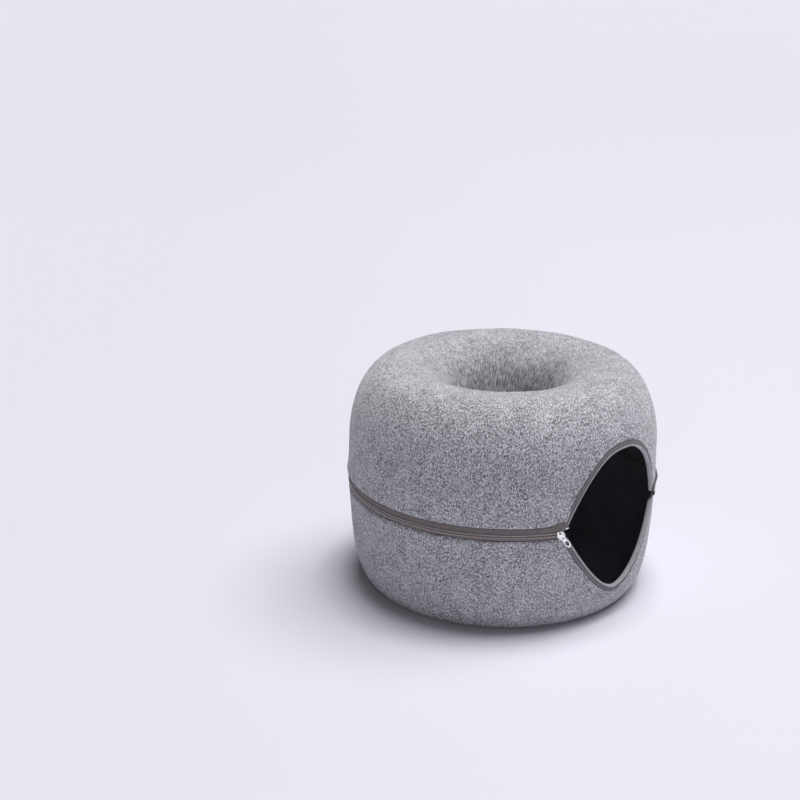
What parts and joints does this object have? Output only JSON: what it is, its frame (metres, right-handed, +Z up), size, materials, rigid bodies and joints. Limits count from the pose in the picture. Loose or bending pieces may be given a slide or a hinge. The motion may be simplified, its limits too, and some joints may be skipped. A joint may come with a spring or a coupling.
{
  "type": "donut cat tunnel",
  "caption": "Ring-shaped felt tunnel for a cat: two zipped halves, a pointed oval doorway in the side and an open hole down the middle.",
  "frame": {"origin": "on the floor, on the vertical axis of the ring", "axes": "+Z up along the ring's axis, -Y out of the middle of the doorway"},
  "size_m": [0.5058, 0.5001, 0.3664],
  "materials": {
    "upper_shell": "melange felt, fibres in two greys",
    "lower_shell": "melange felt, fibres in two greys",
    "upper_lining": "dull dark cloth",
    "lower_lining": "dull dark cloth",
    "upper_door_binding": "folded woven strip, stitched",
    "lower_door_binding": "folded woven strip, stitched",
    "outer_zip_upper_tape": "woven polyester tape",
    "outer_zip_lower_tape": "woven polyester tape",
    "outer_zip_upper_coil": "nylon coil, sewn",
    "outer_zip_lower_coil": "nylon coil, sewn",
    "outer_zip_slider": "bright plated casting",
    "outer_zip_pull": "bright plated casting",
    "outer_zip_upper_stop": "satin",
    "outer_zip_lower_stop": "satin",
    "outer_zip_pin": "moulded",
    "outer_zip_box": "moulded",
    "inner_zip_upper_tape": "woven polyester tape",
    "inner_zip_lower_tape": "woven polyester tape",
    "inner_zip_upper_coil": "nylon coil, sewn",
    "inner_zip_lower_coil": "nylon coil, sewn",
    "inner_zip_slider": "bright plated casting",
    "inner_zip_pull": "bright plated casting",
    "inner_zip_upper_stop": "satin",
    "inner_zip_lower_stop": "satin",
    "inner_zip_pin": "moulded",
    "inner_zip_box": "moulded"
  },
  "bodies": {
    "lower_half": {"lower_shell": "lower_shell", "lower_lining": "lower_lining", "lower_door_binding": "lower_door_binding", "outer_zip_lower_tape": "outer_zip_lower_tape", "outer_zip_lower_coil": "outer_zip_lower_coil", "outer_zip_lower_stop": "outer_zip_lower_stop", "outer_zip_box": "outer_zip_box", "inner_zip_lower_tape": "inner_zip_lower_tape", "inner_zip_lower_coil": "inner_zip_lower_coil", "inner_zip_lower_stop": "inner_zip_lower_stop", "inner_zip_box": "inner_zip_box"},
    "upper_half": {"upper_shell": "upper_shell", "upper_lining": "upper_lining", "upper_door_binding": "upper_door_binding", "outer_zip_upper_tape": "outer_zip_upper_tape", "outer_zip_upper_coil": "outer_zip_upper_coil", "outer_zip_upper_stop": "outer_zip_upper_stop", "outer_zip_pin": "outer_zip_pin", "inner_zip_upper_tape": "inner_zip_upper_tape", "inner_zip_upper_coil": "inner_zip_upper_coil", "inner_zip_upper_stop": "inner_zip_upper_stop", "inner_zip_pin": "inner_zip_pin"},
    "outer_slider": {"outer_zip_slider": "outer_zip_slider"},
    "outer_pull": {"outer_zip_pull": "outer_zip_pull"},
    "inner_slider": {"inner_zip_slider": "inner_zip_slider"},
    "inner_pull": {"inner_zip_pull": "inner_zip_pull"}
  },
  "joints": [
    {"name": "upper_half_lift", "type": "slide", "parent": "lower_half", "child": "upper_half", "axis": [0, 0, 1], "range_m": [0, 0.2]},
    {"name": "outer_slider_run", "type": "hinge", "parent": "lower_half", "child": "outer_slider", "pos_m": [0, 0, 0.1703], "axis": [0, 0, -1], "range_deg": [0, 302.87]},
    {"name": "outer_pull_swing", "type": "hinge", "parent": "outer_slider", "child": "outer_pull", "pos_m": [-0.11979, -0.2255, 0.1703], "axis": [-0.7407, 0.3934, -0.5446], "range_deg": [0, 150]},
    {"name": "inner_slider_run", "type": "hinge", "parent": "lower_half", "child": "inner_slider", "pos_m": [0, 0, 0.1703], "axis": [0, 0, -1], "range_deg": [0, 337.44]},
    {"name": "inner_pull_swing", "type": "hinge", "parent": "inner_slider", "child": "inner_pull", "pos_m": [0.01406, 0.06694, 0.1703], "axis": [-0.8208, 0.1724, 0.5446], "range_deg": [0, 150]}
  ]
}
